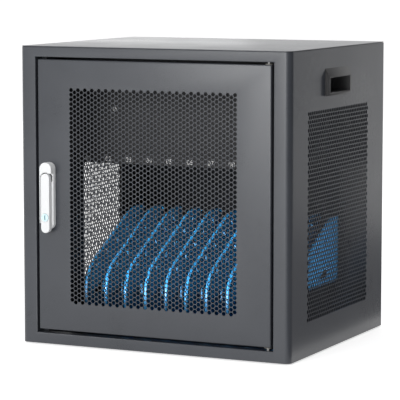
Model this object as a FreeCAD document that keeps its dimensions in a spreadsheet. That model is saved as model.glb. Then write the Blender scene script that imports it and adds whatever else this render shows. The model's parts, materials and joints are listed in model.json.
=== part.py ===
"""Device charging cabinet: a parametric model of its separate pieces, in millimetres.

X points right as seen from the front, Y to the rear and Z up. The origin is on the floor, under the
middle of the whole object, handle and inlet included. Every driving size is a cell of the sheet Size.
"""
import FreeCAD
import Part
import Sketcher
import math
import os

SIZES = {
    # Case
    "width": 380,
    "depth": 318,
    "case_height": 387,
    "sheet": 1.5,
    "corner_radius": 8,
    "corner_land": 3,
    "lap": 6.5,
    "flange": 12,
    "foot_height": 1.5,
    "foot_radius": 10,
    "foot_inset": 32,
    # Door opening, door and its pivots
    "stile": 22.5,
    "rail": 14,
    "frame_return": 18,
    "stop_lip": 7,
    "bumper_radius": 3,
    "bumper_height": 2.2,
    "bumper_spread": 120,
    "door_gap": 3,
    "door_sill_gap": 4.5,
    "door_depth": 14,
    "door_edge_radius": 2.5,
    "pin_radius": 2.5,
    "pin_inset": 5.5,
    "pin_setback": 6,
    "pin_engagement": 9,
    "pin_head_radius": 4,
    "pin_head": 2,
    "bush_wall": 1.2,
    "bush_flange": 1,
    "bush_length": 6,
    "turning_clearance": 0.3,
    "seat_clearance": 0.1,
    # Punched hexagons
    "door_hex": 20,
    "door_hex_pitch": 24,
    "door_hex_columns": 6,
    "door_hex_rows": 12,
    "side_hex": 22.5,
    "side_hex_pitch": 27,
    "side_hex_columns": 8,
    "side_hex_rows": 6,
    "side_field_setback": 158,
    "side_field_height": 177,
    # Swing handle
    "handle_width": 22,
    "handle_length": 87,
    "handle_inset": 17,
    "handle_corner": 10.8,
    "handle_base": 6,
    "crown_height": 6,
    "crown_gap": 9.4,
    "pivot_rise": 23,
    "lever_width": 14.6,
    "lever_reach": 70.5,
    "lever_thickness": 6.5,
    "lever_gap": 0.4,
    "lever_edge": 1.5,
    "lever_skin": 1.2,
    "lever_pin_radius": 1.2,
    "lever_pin_height": 8.6,
    "lever_slot": 10,
    "tongue_width": 5,
    "tongue_radius": 2.9,
    "well_radius": 8.4,
    "well_floor": 1.5,
    "collar_radius": 7.4,
    "collar": 0.8,
    "spindle_radius": 4.9,
    "neck_radius": 7.5,
    "neck_length": 9,
    "nut_flats": 20,
    "nut_height": 4,
    "lock_drop": 50.5,
    "lock_radius": 5,
    "lock_proud": 0.6,
    "key_slot_width": 1.4,
    "key_slot_length": 6,
    "key_slot_depth": 4,
    "cam_setback": 19.5,
    "cam_thickness": 3,
    "cam_width": 16,
    "cam_reach": 33,
    "cam_seat_radius": 4,
    "screw_radius": 2,
    "screw_head_radius": 3.8,
    "screw_head": 2.2,
    "screw_length": 8,
    # Carry handles
    "grip_length": 78,
    "grip_height": 35,
    "grip_setback": 150,
    "grip_level": 343,
    "grip_cheek": 6,
    "grip_sill": 4,
    "grip_hood": 12,
    "grip_proud": 5,
    "grip_depth": 20,
    "grip_wall": 2,
    # Inner rack
    "inner_gap": 26,
    "rack_setback": 80,
    "window_setback": 120,
    "window_length": 106,
    "window_bottom": 73,
    "window_margin": 5,
    "window_corner": 6,
    "foot_flange": 14,
    "shelf_level": 231,
    "strip_height": 15.5,
    "front_flange": 18,
    "seam": 0.5,
    "strip_screw_inset": 10,
    "strip_screw_level": 10.5,
    "cover_screw_level": 340,
    "supply_screw_spread": 93,
    "supply_screw_level": 303,
    "supply_width": 214,
    "supply_height": 56,
    "supply_depth": 84,
    "supply_edge": 3,
    # Bays and dividers
    "bay_count": 10,
    "bay_pitch": 29.7,
    "divider_thickness": 3,
    "divider_front": 97,
    "divider_rear": 270,
    "divider_nose": 78,
    "divider_slope": 29.4,
    "divider_top": 156,
    "divider_nose_radius": 20,
    "divider_top_radius": 80,
    "divider_heel_radius": 6,
    "web_front": 112,
    "web_length": 34,
    "web_bottom": 48,
    "web_spacing": 78,
    "web_rise": 29,
    "rail_front": 108,
    "rail_rear": 232,
    "rail_width": 22,
    "rail_height": 14,
    "rail_slot": 9,
    # Charging board
    "board_setback": 92,
    "board_depth": 44,
    "board_thickness": 1.6,
    "board_end": 12,
    "socket_setback": 99,
    "socket_width": 13.4,
    "socket_depth": 6,
    "socket_drop": 1.2,
    "socket_shoulder": 2,
    "socket_height": 9,
    "port_width": 11,
    "port_depth": 3.8,
    "port_recess": 6,
    # Power inlet and its switch
    "inlet_offset": 110,
    "inlet_level": 305,
    "inlet_width": 27,
    "inlet_height": 47,
    "inlet_body": 24,
    "inlet_rim": 3.5,
    "inlet_proud": 2.5,
    "inlet_corner": 3,
    "socket_opening_width": 22,
    "socket_opening_height": 15.5,
    "socket_opening_depth": 15,
    "socket_opening_drop": 11,
    "blade_width": 4,
    "blade_thickness": 2,
    "blade_length": 11,
    "blade_spread": 7,
    "rocker_rise": 11.5,
    "rocker_radius": 8.6,
    "rocker_width": 13,
    "rocker_well": 13,
    "rocker_sink": 2,
    "rocker_slope": 12,
}

document = FreeCAD.newDocument("ChargingCabinet")
size = document.addObject("Spreadsheet::Sheet", "Size")
for row, (alias, amount) in enumerate(SIZES.items(), start=1):
    size.set(f"A{row}", alias)
    size.set(f"B{row}", str(amount))
    size.setAlias(f"B{row}", alias)
document.recompute()

# Places that several pieces share, as expressions over the sheet
SIDE = "(Size.width / 2)"
HANDLE_PROUD = "(Size.handle_base + Size.lever_gap + Size.lever_thickness + Size.lock_proud)"
FRONT = f"(({HANDLE_PROUD} - Size.inlet_proud - Size.depth) / 2)"
REAR = f"({FRONT} + Size.depth)"
BOTTOM = "Size.foot_height"
TOP = "(Size.foot_height + Size.case_height)"
FLOOR = f"({BOTTOM} + Size.sheet)"
CEILING = f"({TOP} - Size.sheet)"
INSIDE = f"({SIDE} - 2 * Size.sheet)"
REAR_FACE = f"({REAR} - Size.sheet)"
CORNER_END = f"({FRONT} + Size.corner_radius + Size.corner_land)"
OPEN_SIDE = f"({SIDE} - Size.stile)"
OPEN_BOTTOM = f"({BOTTOM} + Size.rail)"
OPEN_TOP = f"({TOP} - Size.rail)"
DOOR_SIDE = f"({OPEN_SIDE} - Size.door_gap)"
DOOR_BOTTOM = f"({OPEN_BOTTOM} + Size.door_sill_gap)"
DOOR_TOP = f"({OPEN_TOP} - Size.door_gap)"
DOOR_MIDDLE = f"(({DOOR_BOTTOM} + {DOOR_TOP}) / 2)"
PIN_X = f"({DOOR_SIDE} - Size.pin_inset)"
PIN_Y = f"({FRONT} + Size.pin_setback)"
BUSH_RADIUS = "(Size.pin_radius + Size.turning_clearance + Size.bush_wall)"
HANDLE_X = f"(-{DOOR_SIDE} + Size.handle_inset)"
PIVOT_Z = f"({DOOR_MIDDLE} + Size.pivot_rise)"
BASE_FACE = f"({FRONT} - Size.handle_base)"
LEVER_BACK = f"({BASE_FACE} - Size.lever_gap)"
LEVER_FACE = f"({LEVER_BACK} - Size.lever_thickness)"
LEVER_PIN_Y = f"({FRONT} - Size.lever_pin_height)"
CAM_Y = f"({FRONT} + Size.cam_setback)"
INNER_SIDE = f"({SIDE} - Size.inner_gap)"
RACK_FRONT = f"({FRONT} + Size.rack_setback)"
RACK_BACK_OF_FACE = f"({RACK_FRONT} + Size.sheet)"
SHELF = f"({BOTTOM} + Size.shelf_level)"
STRIP_TOP = f"({SHELF} + Size.strip_height)"
STRIP_SCREW_Z = f"({SHELF} + Size.strip_screw_level)"
FLANGE_SCREW_X = f"({INNER_SIDE} - Size.strip_screw_inset)"
SCREW_HOLE = "(Size.screw_radius + Size.seat_clearance)"
GRIP_Y = f"({FRONT} + Size.grip_setback)"
GRIP_Z = f"({BOTTOM} + Size.grip_level)"
GRIP_LOW = f"({GRIP_Z} - Size.grip_height / 2)"
GRIP_HIGH = f"({GRIP_Z} + Size.grip_height / 2)"
GRIP_OPEN = "(Size.grip_length / 2 - Size.grip_cheek)"
GRIP_OPEN_LOW = f"({GRIP_LOW} + Size.grip_sill)"
GRIP_OPEN_HIGH = f"({GRIP_HIGH} - Size.grip_hood)"
INLET_Z = f"({BOTTOM} + Size.inlet_level)"
ROCKER_Z = f"({INLET_Z} + Size.rocker_rise)"


def number(expression):
    """Present value of an expression over the sheet."""
    return float(size.evalExpression(expression))


def new_body(name):
    body = document.addObject("PartDesign::Body", name)
    body.Label = name
    return body


def new_sketch(body, name, plane, offset="0"):
    """Sketch on one of the body's own origin planes, moved along that plane's normal."""
    sketch = body.newObject("Sketcher::SketchObject", f"{body.Name}_{name}")
    support = [item for item in body.Origin.OriginFeatures if item.Role == plane][0]
    sketch.AttachmentSupport = [(support, "")]
    sketch.MapMode = "FlatFace"
    sketch.setExpression("AttachmentOffset.Base.z", offset)
    return sketch


def plan(body, name, level):
    """Sketch seen from above, at a height; its axes are X and Y."""
    return new_sketch(body, name, "XY_Plane", level)


def elevation(body, name, at):
    """Sketch seen from the front, at a Y place; its axes are X and Z, and its normal is -Y."""
    return new_sketch(body, name, "XZ_Plane", f"-({at})")


def profile(body, name, at):
    """Sketch seen from the right, at an X place; its axes are Y and Z."""
    return new_sketch(body, name, "YZ_Plane", at)


def bind(sketch, kind, geometry, point, expression):
    """Hold one coordinate of a point at an expression."""
    constraint = Sketcher.Constraint(kind, -1, 1, geometry, point, number(expression))
    index = sketch.addConstraint(constraint)
    sketch.setExpression(f"Constraints[{index}]", expression)


def polygon(sketch, corners):
    """Closed outline through corners given as pairs of expressions."""
    places = [FreeCAD.Vector(number(x), number(y), 0) for x, y in corners]
    edges = []
    for start, end in zip(places, places[1:] + places[:1]):
        edges.append(sketch.addGeometry(Part.LineSegment(start, end)))
    for this, following in zip(edges, edges[1:] + edges[:1]):
        sketch.addConstraint(Sketcher.Constraint("Coincident", this, 2, following, 1))
    for edge, (x, y) in zip(edges, corners):
        bind(sketch, "DistanceX", edge, 1, x)
        bind(sketch, "DistanceY", edge, 1, y)


def rectangle(sketch, left, right, low, high):
    polygon(sketch, [(left, low), (right, low), (right, high), (left, high)])


def rounded_rectangle(sketch, left, right, low, high, radii):
    """Rectangle with a radius, or None, at each corner from low left, anticlockwise."""
    corners = [(left, low), (right, low), (right, high), (left, high)]
    inward = [(1, 1), (-1, 1), (-1, -1), (1, -1)]
    starts = []
    ends = []
    arcs = []
    for turn, ((x, y), (sx, sy), radius) in enumerate(zip(corners, inward, radii)):
        corner = FreeCAD.Vector(number(x), number(y), 0)
        if radius is None:
            starts.append(corner)
            ends.append(corner)
            arcs.append(None)
            continue
        reach = number(radius)
        centre = corner + FreeCAD.Vector(sx * reach, sy * reach, 0)
        first = math.pi + turn * math.pi / 2
        circle = Part.Circle(centre, FreeCAD.Vector(0, 0, 1), reach)
        arc = Part.ArcOfCircle(circle, first, first + math.pi / 2)
        ends.append(arc.StartPoint)
        starts.append(arc.EndPoint)
        arcs.append(sketch.addGeometry(arc))
    edges = []
    for turn in range(4):
        line = Part.LineSegment(starts[turn], ends[(turn + 1) % 4])
        edges.append(sketch.addGeometry(line))
        direction = "Horizontal" if turn % 2 == 0 else "Vertical"
        sketch.addConstraint(Sketcher.Constraint(direction, edges[turn]))
    for turn in range(4):
        before = edges[turn - 1]
        if arcs[turn] is None:
            sketch.addConstraint(Sketcher.Constraint("Coincident", before, 2, edges[turn], 1))
            continue
        sketch.addConstraint(Sketcher.Constraint("Tangent", before, 2, arcs[turn], 1))
        sketch.addConstraint(Sketcher.Constraint("Tangent", arcs[turn], 2, edges[turn], 1))
        index = sketch.addConstraint(Sketcher.Constraint("Radius", arcs[turn], number(radii[turn])))
        sketch.setExpression(f"Constraints[{index}]", radii[turn])
    bind(sketch, "DistanceY", edges[0], 1, low)
    bind(sketch, "DistanceX", edges[1], 1, right)
    bind(sketch, "DistanceY", edges[2], 1, high)
    bind(sketch, "DistanceX", edges[3], 1, left)


def circle(sketch, x, y, radius):
    centre = FreeCAD.Vector(number(x), number(y), 0)
    shape = Part.Circle(centre, FreeCAD.Vector(0, 0, 1), number(radius))
    index = sketch.addGeometry(shape)
    bind(sketch, "DistanceX", index, 3, x)
    bind(sketch, "DistanceY", index, 3, y)
    held = sketch.addConstraint(Sketcher.Constraint("Radius", index, number(radius)))
    sketch.setExpression(f"Constraints[{held}]", radius)


def hexagon(sketch, x, y, flats, first_angle):
    """Hexagon by its width across flats, with a corner at the first angle in degrees."""
    corners = []
    for step in range(6):
        angle = first_angle + 60 * step
        corners.append((f"{x} + {flats} / sqrt(3) * cos({angle} deg)",
                        f"{y} + {flats} / sqrt(3) * sin({angle} deg)"))
    polygon(sketch, corners)


def pad(body, sketch, length, reverse=False):
    feature = body.newObject("PartDesign::Pad", f"{sketch.Name}_pad")
    feature.Profile = sketch
    feature.setExpression("Length", length)
    feature.Reversed = reverse
    return feature


def pocket(body, sketch, length, reverse=False):
    """Cut against the sketch's normal, or along it when reversed."""
    feature = body.newObject("PartDesign::Pocket", f"{sketch.Name}_pocket")
    feature.Profile = sketch
    feature.setExpression("Length", length)
    feature.Reversed = reverse
    return feature


def revolve(body, sketch):
    """Turn a profile about its sketch's upright axis."""
    feature = body.newObject("PartDesign::Revolution", f"{sketch.Name}_turned")
    feature.Profile = sketch
    feature.ReferenceAxis = (sketch, ["V_Axis"])
    feature.Angle = 360
    return feature


def repeat(body, feature, sketch, first, second=None):
    """Row of a feature along its sketch's axes: each run is an axis, an extent and a count."""
    pattern = body.newObject("PartDesign::LinearPattern", f"{feature.Name}_row")
    pattern.Originals = [feature]
    pattern.Direction = (sketch, [first[0]])
    pattern.setExpression("Length", first[1])
    pattern.setExpression("Occurrences", first[2])
    if second:
        pattern.Direction2 = (sketch, [second[0]])
        pattern.setExpression("Length2", second[1])
        pattern.setExpression("Occurrences2", second[2])
    body.Tip = pattern
    return pattern


def mirror_across(body, features):
    """Mirror features from the right half to the left half of a body."""
    mirrored = body.newObject("PartDesign::Mirrored", f"{features[-1].Name}_mirror")
    plane = [item for item in body.Origin.OriginFeatures if item.Role == "YZ_Plane"][0]
    mirrored.Originals = features
    mirrored.MirrorPlane = (plane, [""])
    body.Tip = mirrored
    return mirrored


def edge_names(feature, chosen):
    """Names of the edges of a feature that the chosen test accepts."""
    document.recompute()
    return [f"Edge{place}" for place, edge in enumerate(feature.Shape.Edges, 1) if chosen(edge)]


def bevel_edges(body, feature, width, chosen):
    names = edge_names(feature, chosen)
    bevelled = body.newObject("PartDesign::Chamfer", f"{feature.Name}_bevel")
    bevelled.Base = (feature, names)
    bevelled.setExpression("Size", width)
    return bevelled


def round_edges(body, feature, radius, chosen):
    names = edge_names(feature, chosen)
    rounded = body.newObject("PartDesign::Fillet", f"{feature.Name}_round")
    rounded.Base = (feature, names)
    rounded.setExpression("Radius", radius)
    return rounded


def place(body, x="0", y="0", z="0"):
    for axis, expression in (("x", x), ("y", y), ("z", z)):
        body.setExpression(f"Placement.Base.{axis}", expression)


def front_frame():
    """Stiles, rails and rounded corners of the front, with the return round the door."""
    body = new_body("front_frame")
    height = f"{CEILING} - {BOTTOM}"
    radius = "Size.corner_radius"
    inner = "(Size.corner_radius - Size.sheet)"
    outline = plan(body, "outline", BOTTOM)
    rounded_rectangle(outline, f"-{SIDE}", SIDE, FRONT, CORNER_END, [radius, radius, None, None])
    pad(body, outline, height)
    hollow = plan(body, "hollow", BOTTOM)
    rounded_rectangle(hollow, f"-{SIDE} + Size.sheet", f"{SIDE} - Size.sheet", f"{FRONT} + Size.sheet",
                      f"{CORNER_END} + Size.sheet", [inner, inner, None, None])
    pocket(body, hollow, height, reverse=True)
    opening = elevation(body, "opening", FRONT)
    rectangle(opening, f"-{OPEN_SIDE}", OPEN_SIDE, OPEN_BOTTOM, OPEN_TOP)
    pocket(body, opening, "2 * Size.sheet")
    ring = elevation(body, "ring", FRONT)
    rectangle(ring, f"-{OPEN_SIDE} - Size.sheet", f"{OPEN_SIDE} + Size.sheet",
              f"{OPEN_BOTTOM} - Size.sheet", f"{OPEN_TOP} + Size.sheet")
    rectangle(ring, f"-{OPEN_SIDE}", OPEN_SIDE, OPEN_BOTTOM, OPEN_TOP)
    pad(body, ring, "Size.frame_return", reverse=True)
    lip = elevation(body, "lip", f"{FRONT} + Size.frame_return")
    rectangle(lip, f"-{OPEN_SIDE} - Size.sheet", f"-{OPEN_SIDE} + Size.stop_lip", OPEN_BOTTOM, OPEN_TOP)
    pad(body, lip, "Size.sheet")
    lap = plan(body, "lap", BOTTOM)
    rectangle(lap, INSIDE, f"{SIDE} - Size.sheet", f"{FRONT} + {radius} / 2", f"{CORNER_END} + Size.lap")
    strip = pad(body, lap, height)
    mirror_across(body, [strip])
    holes = plan(body, "pin_holes", BOTTOM)
    circle(holes, PIN_X, PIN_Y, "Size.pin_radius + Size.seat_clearance")
    pocket(body, holes, height, reverse=True)
    return body


def side_panel(name, sign):
    """Flat perforated side with the cut-out for its carry handle."""
    body = new_body(name)
    outer = f"({sign} * {SIDE})"
    start = f"{outer} - Size.sheet" if sign > 0 else outer
    sheet = profile(body, "sheet", start)
    rectangle(sheet, CORNER_END, REAR, BOTTOM, CEILING)
    pad(body, sheet, "Size.sheet")
    cut_out = profile(body, "cut_out", start)
    around = "(Size.grip_wall + Size.seat_clearance)"
    rectangle(cut_out, f"{GRIP_Y} - {GRIP_OPEN} - {around}", f"{GRIP_Y} + {GRIP_OPEN} + {around}",
              f"{GRIP_OPEN_LOW} - {around}", f"{GRIP_OPEN_HIGH} + {around}")
    pocket(body, cut_out, "Size.sheet", reverse=True)
    run = "(Size.side_hex_columns - 1) * Size.side_hex_pitch"
    row_step = "(Size.side_hex_pitch * sqrt(3) / 2)"
    start_y = f"{FRONT} + Size.side_field_setback - {run} / 2"
    start_z = f"{BOTTOM} + Size.side_field_height - (Size.side_hex_rows - 1) * {row_step}"
    for shift in (0, 1):
        punch = profile(body, f"hexagon_{shift}", start)
        hexagon(punch, f"{start_y} + {shift} * Size.side_hex_pitch / 2", f"{start_z} + {shift} * {row_step}",
                "Size.side_hex", 30)
        hole = pocket(body, punch, "Size.sheet", reverse=True)
        repeat(body, hole, punch,
               ("H_Axis", f"(Size.side_hex_columns - 1 - {shift}) * Size.side_hex_pitch",
                f"Size.side_hex_columns - {shift}"),
               ("V_Axis", f"2 * {row_step} * (Size.side_hex_rows - 1 - {shift})",
                f"Size.side_hex_rows - {shift}"))
    return body


def top_panel():
    body = new_body("top_panel")
    sheet = plan(body, "sheet", CEILING)
    radius = "Size.corner_radius"
    rounded_rectangle(sheet, f"-{SIDE}", SIDE, FRONT, REAR, [radius, radius, None, None])
    pad(body, sheet, "Size.sheet")
    edge = plan(body, "edge", CEILING)
    rectangle(edge, f"{INSIDE} - Size.sheet", INSIDE, CORNER_END, f"{REAR} - 2 * Size.flange")
    turned_down = pad(body, edge, "Size.flange", reverse=True)
    mirror_across(body, [turned_down])
    return body


def base_pan():
    body = new_body("base_pan")
    sheet = plan(body, "sheet", BOTTOM)
    radius = "(Size.corner_radius - Size.sheet)"
    rounded_rectangle(sheet, f"-{INSIDE}", INSIDE, f"{FRONT} + Size.sheet", REAR_FACE,
                      [radius, radius, None, None])
    pad(body, sheet, "Size.sheet")
    edge = plan(body, "edge", FLOOR)
    rectangle(edge, f"{INSIDE} - Size.sheet", INSIDE, CORNER_END, f"{REAR} - 2 * Size.flange")
    turned_up = pad(body, edge, "Size.flange")
    mirror_across(body, [turned_up])
    return body


def rear_panel():
    body = new_body("rear_panel")
    sheet = elevation(body, "sheet", REAR_FACE)
    rectangle(sheet, f"-{SIDE} + Size.sheet", f"{SIDE} - Size.sheet", BOTTOM, CEILING)
    pad(body, sheet, "Size.sheet", reverse=True)
    edge = plan(body, "edge", BOTTOM)
    rectangle(edge, INSIDE, f"{SIDE} - Size.sheet", f"{REAR_FACE} - Size.flange", REAR_FACE)
    forward = pad(body, edge, f"{CEILING} - {BOTTOM}")
    mirror_across(body, [forward])
    cut_out = elevation(body, "inlet", REAR_FACE)
    half_width = "(Size.inlet_width / 2 + Size.seat_clearance)"
    half_height = "(Size.inlet_height / 2 + Size.seat_clearance)"
    rectangle(cut_out, f"Size.inlet_offset - {half_width}", f"Size.inlet_offset + {half_width}",
              f"{INLET_Z} - {half_height}", f"{INLET_Z} + {half_height}")
    pocket(body, cut_out, "Size.sheet")
    return body


def rubber_foot(name, side, end):
    body = new_body(name)
    disc = plan(body, "disc", "0")
    middle = f"(({FRONT} + {REAR}) / 2)"
    circle(disc, f"{side} * ({SIDE} - Size.foot_inset)",
           f"{middle} + {end} * (Size.depth / 2 - Size.foot_inset)", "Size.foot_radius")
    pad(body, disc, "Size.foot_height")
    return body


def door_panel():
    """Pan with its edges turned back, punched for air and for the handle."""
    body = new_body("door_panel")
    outline = plan(body, "outline", DOOR_BOTTOM)
    radius = "Size.door_edge_radius"
    inner = "(Size.door_edge_radius - Size.sheet)"
    rounded_rectangle(outline, f"-{DOOR_SIDE}", DOOR_SIDE, FRONT, f"{FRONT} + Size.door_depth",
                      [radius, radius, None, None])
    pad(body, outline, f"{DOOR_TOP} - {DOOR_BOTTOM}")
    hollow = plan(body, "hollow", f"{DOOR_BOTTOM} + Size.sheet")
    rounded_rectangle(hollow, f"-{DOOR_SIDE} + Size.sheet", f"{DOOR_SIDE} - Size.sheet",
                      f"{FRONT} + Size.sheet", f"{FRONT} + 2 * Size.door_depth", [inner, inner, None, None])
    pocket(body, hollow, f"{DOOR_TOP} - {DOOR_BOTTOM} - 2 * Size.sheet", reverse=True)
    holes = plan(body, "bush_holes", DOOR_BOTTOM)
    circle(holes, PIN_X, PIN_Y, f"{BUSH_RADIUS} + Size.seat_clearance")
    pocket(body, holes, f"{DOOR_TOP} - {DOOR_BOTTOM}", reverse=True)
    neck = elevation(body, "neck_hole", FRONT)
    circle(neck, HANDLE_X, PIVOT_Z, "Size.neck_radius + Size.seat_clearance")
    pocket(body, neck, "Size.sheet")
    column_step = "(Size.door_hex_pitch * sqrt(3) / 2)"
    start_x = f"-(Size.door_hex_columns - 1) * {column_step}"
    start_z = f"{DOOR_MIDDLE} - (Size.door_hex_rows - 1) * Size.door_hex_pitch / 2"
    for shift in (0, 1):
        punch = elevation(body, f"hexagon_{shift}", FRONT)
        hexagon(punch, f"{start_x} + {shift} * {column_step}",
                f"{start_z} + {shift} * Size.door_hex_pitch / 2", "Size.door_hex", 0)
        hole = pocket(body, punch, "Size.sheet")
        repeat(body, hole, punch,
               ("H_Axis", f"2 * {column_step} * (Size.door_hex_columns - 1 - {shift})",
                f"Size.door_hex_columns - {shift}"),
               ("V_Axis", f"(Size.door_hex_rows - 1 - {shift}) * Size.door_hex_pitch",
                f"Size.door_hex_rows - {shift}"))
    return body


def hinge_pin(name, seat, up):
    """Headed pivot pin through a frame return into the door's bush; up is 1 or -1."""
    body = new_body(name)
    half = elevation(body, "half", "0")
    low = f"-{up} * (Size.sheet + Size.door_gap + Size.pin_engagement)"
    head = f"{up} * Size.pin_head"
    polygon(half, [("0", low), ("Size.pin_radius", low), ("Size.pin_radius", "0"),
                   ("Size.pin_head_radius", "0"), ("Size.pin_head_radius", head), ("0", head)])
    revolve(body, half)
    place(body, PIN_X, PIN_Y, seat)
    return body


def hinge_bush(name, seat, up):
    """Flanged bush in the door's top or bottom return, hanging inward from its flange."""
    body = new_body(name)
    bore = "(Size.pin_radius + Size.turning_clearance)"
    half = elevation(body, "half", "0")
    rim = f"{up} * Size.bush_flange"
    end = f"-{up} * Size.bush_length"
    wide = f"({BUSH_RADIUS} + Size.bush_wall)"
    polygon(half, [(bore, end), (BUSH_RADIUS, end), (BUSH_RADIUS, "0"), (wide, "0"), (wide, rim),
                   (bore, rim)])
    revolve(body, half)
    place(body, PIN_X, PIN_Y, seat)
    return body


def door_bumper(name, rise):
    """Round rubber stop on the frame's lip, behind the free edge of the door."""
    body = new_body(name)
    disc = elevation(body, "disc", f"{FRONT} + Size.frame_return - Size.sheet")
    circle(disc, f"-{OPEN_SIDE} + Size.stop_lip / 2", f"{DOOR_MIDDLE} + {rise} * Size.bumper_spread",
           "Size.bumper_radius")
    pad(body, disc, "Size.bumper_height")
    return body


def handle_housing():
    """Base on the door with a crown above the lever, a well for its heel and a threaded neck."""
    body = new_body("handle_housing")
    left = f"{HANDLE_X} - Size.handle_width / 2"
    right = f"{HANDLE_X} + Size.handle_width / 2"
    high = f"{DOOR_MIDDLE} + Size.handle_length / 2"
    radius = "Size.handle_corner"
    base = elevation(body, "base", FRONT)
    rounded_rectangle(base, left, right, f"{DOOR_MIDDLE} - Size.handle_length / 2", high, [radius] * 4)
    pad(body, base, "Size.handle_base")
    crown = elevation(body, "crown", BASE_FACE)
    rounded_rectangle(crown, left, right, f"{PIVOT_Z} + Size.crown_gap", high, [None, None, radius, radius])
    pad(body, crown, "Size.crown_height")
    neck = elevation(body, "neck", FRONT)
    circle(neck, HANDLE_X, PIVOT_Z, "Size.neck_radius")
    pad(body, neck, "Size.neck_length", reverse=True)
    well = elevation(body, "well", BASE_FACE)
    circle(well, HANDLE_X, PIVOT_Z, "Size.well_radius")
    pocket(body, well, "Size.handle_base - Size.well_floor")
    bore = elevation(body, "bore", BASE_FACE)
    circle(bore, HANDLE_X, PIVOT_Z, "Size.spindle_radius + Size.turning_clearance")
    pocket(body, bore, "Size.handle_base + Size.neck_length")
    return body


def handle_nut():
    body = new_body("handle_nut")
    flats = elevation(body, "flats", f"{FRONT} + Size.sheet")
    hexagon(flats, HANDLE_X, PIVOT_Z, "Size.nut_flats", 0)
    circle(flats, HANDLE_X, PIVOT_Z, "Size.neck_radius + Size.seat_clearance")
    pad(body, flats, "Size.nut_height", reverse=True)
    return body


def spindle():
    """Shaft through the door with a tongue for the lever and a seat for the cam."""
    body = new_body("spindle")
    well_floor = f"({FRONT} - Size.well_floor)"
    collar = elevation(body, "collar", well_floor)
    circle(collar, HANDLE_X, PIVOT_Z, "Size.collar_radius")
    pad(body, collar, "Size.collar")
    shaft = elevation(body, "shaft", well_floor)
    circle(shaft, HANDLE_X, PIVOT_Z, "Size.spindle_radius")
    pad(body, shaft, f"{CAM_Y} - {well_floor}", reverse=True)
    seat = elevation(body, "seat", CAM_Y)
    circle(seat, HANDLE_X, PIVOT_Z, "Size.cam_seat_radius")
    pad(body, seat, "Size.cam_thickness", reverse=True)
    tongue = profile(body, "tongue", f"{HANDLE_X} - Size.tongue_width / 2")
    rectangle(tongue, LEVER_PIN_Y, f"{well_floor} - Size.collar / 2",
              f"{PIVOT_Z} - Size.tongue_radius", f"{PIVOT_Z} + Size.tongue_radius")
    pad(body, tongue, "Size.tongue_width")
    tip = profile(body, "tip", f"{HANDLE_X} - Size.tongue_width / 2")
    circle(tip, LEVER_PIN_Y, PIVOT_Z, "Size.tongue_radius")
    pad(body, tip, "Size.tongue_width")
    eye = profile(body, "eye", f"{HANDLE_X} - Size.tongue_width / 2")
    circle(eye, LEVER_PIN_Y, PIVOT_Z, "Size.lever_pin_radius + Size.turning_clearance")
    pocket(body, eye, "Size.tongue_width", reverse=True)
    thread = elevation(body, "thread", f"{CAM_Y} + Size.cam_thickness")
    circle(thread, HANDLE_X, PIVOT_Z, SCREW_HOLE)
    pocket(body, thread, "Size.screw_length", reverse=True)
    return body


def lever():
    """Round-ended lever, hollow under its heel for the spindle's tongue."""
    body = new_body("lever")
    half = "(Size.lever_width / 2)"
    radius = f"{half} * 0.99"
    outline = elevation(body, "outline", LEVER_BACK)
    rounded_rectangle(outline, f"{HANDLE_X} - {half}", f"{HANDLE_X} + {half}",
                      f"{PIVOT_Z} - Size.lever_reach", f"{PIVOT_Z} + {half}", [radius] * 4)
    bar = pad(body, outline, "Size.lever_thickness")
    face = number(LEVER_FACE)
    bevel_edges(body, bar, "Size.lever_edge",
                lambda edge: abs(edge.BoundBox.YMax - face) < 0.01)
    slot = elevation(body, "slot", LEVER_BACK)
    half_slot = "(Size.tongue_width / 2 + Size.turning_clearance)"
    rectangle(slot, f"{HANDLE_X} - {half_slot}", f"{HANDLE_X} + {half_slot}",
              f"{PIVOT_Z} - Size.lever_slot / 2", f"{PIVOT_Z} + Size.lever_slot / 2")
    pocket(body, slot, "Size.lever_thickness - Size.lever_skin", reverse=True)
    eye = profile(body, "eye", f"{HANDLE_X} - {half}")
    circle(eye, LEVER_PIN_Y, PIVOT_Z, "Size.lever_pin_radius + Size.seat_clearance")
    pocket(body, eye, "Size.lever_width", reverse=True)
    lock = elevation(body, "lock", LEVER_BACK)
    circle(lock, HANDLE_X, f"{PIVOT_Z} - Size.lock_drop", "Size.lock_radius + Size.turning_clearance")
    pocket(body, lock, "Size.lever_thickness", reverse=True)
    return body


def lever_pin():
    body = new_body("lever_pin")
    end = profile(body, "end", f"{HANDLE_X} - Size.lever_width / 2 + Size.seat_clearance")
    circle(end, LEVER_PIN_Y, PIVOT_Z, "Size.lever_pin_radius")
    pad(body, end, "Size.lever_width - 2 * Size.seat_clearance")
    return body


def lock_plug():
    body = new_body("lock_plug")
    face = f"({LEVER_FACE} - Size.lock_proud)"
    centre_z = f"({PIVOT_Z} - Size.lock_drop)"
    disc = elevation(body, "disc", face)
    circle(disc, HANDLE_X, centre_z, "Size.lock_radius")
    pad(body, disc, "Size.lock_proud + Size.lever_thickness", reverse=True)
    slot = elevation(body, "key_slot", face)
    rectangle(slot, f"{HANDLE_X} - Size.key_slot_width / 2", f"{HANDLE_X} + Size.key_slot_width / 2",
              f"{centre_z} - Size.key_slot_length / 2", f"{centre_z} + Size.key_slot_length / 2")
    pocket(body, slot, "Size.key_slot_depth")
    return body


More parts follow.
